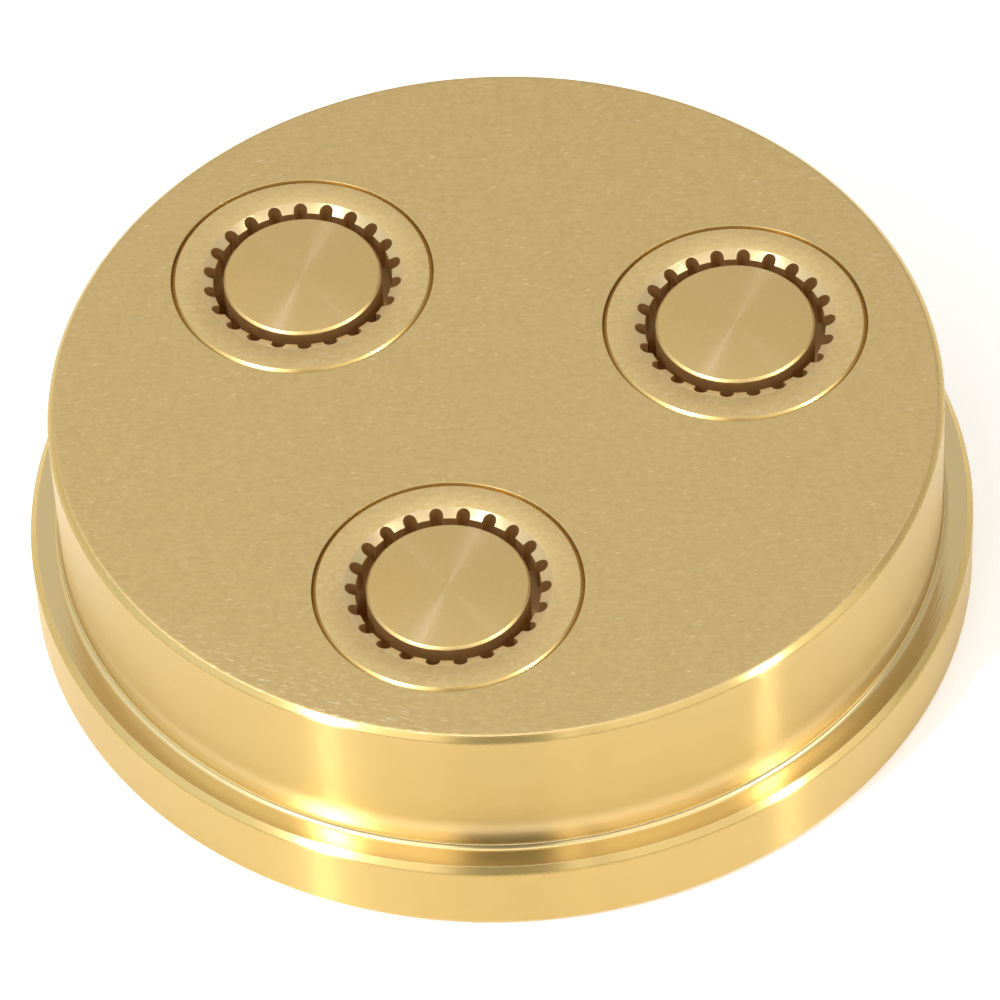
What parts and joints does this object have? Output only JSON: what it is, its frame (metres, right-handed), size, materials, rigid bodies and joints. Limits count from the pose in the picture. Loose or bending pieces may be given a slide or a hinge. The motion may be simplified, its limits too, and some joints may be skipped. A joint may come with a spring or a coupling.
{
  "type": "pasta extrusion die",
  "caption": "Round flanged brass die with drop-in inserts; each has a serrated outlet around a core pin and forms a ridged tube of pasta.",
  "frame": {"origin": "centre of the back face, where the dough enters", "axes": "+Z along the die's axis towards the exit face; +X through the centre of the first insert"},
  "size_m": [0.059, 0.059, 0.0154],
  "materials": {
    "body_brass": "turned walls, ground exit face",
    "insert_brass": "turned, ground exit face",
    "core_brass": "fine turned"
  },
  "bodies": {
    "root": {"die_body": "body_brass", "insert_bush_1": "insert_brass", "insert_bush_2": "insert_brass", "insert_bush_3": "insert_brass", "core_pin_1": "core_brass", "core_pin_2": "core_brass", "core_pin_3": "core_brass"}
  },
  "joints": []
}
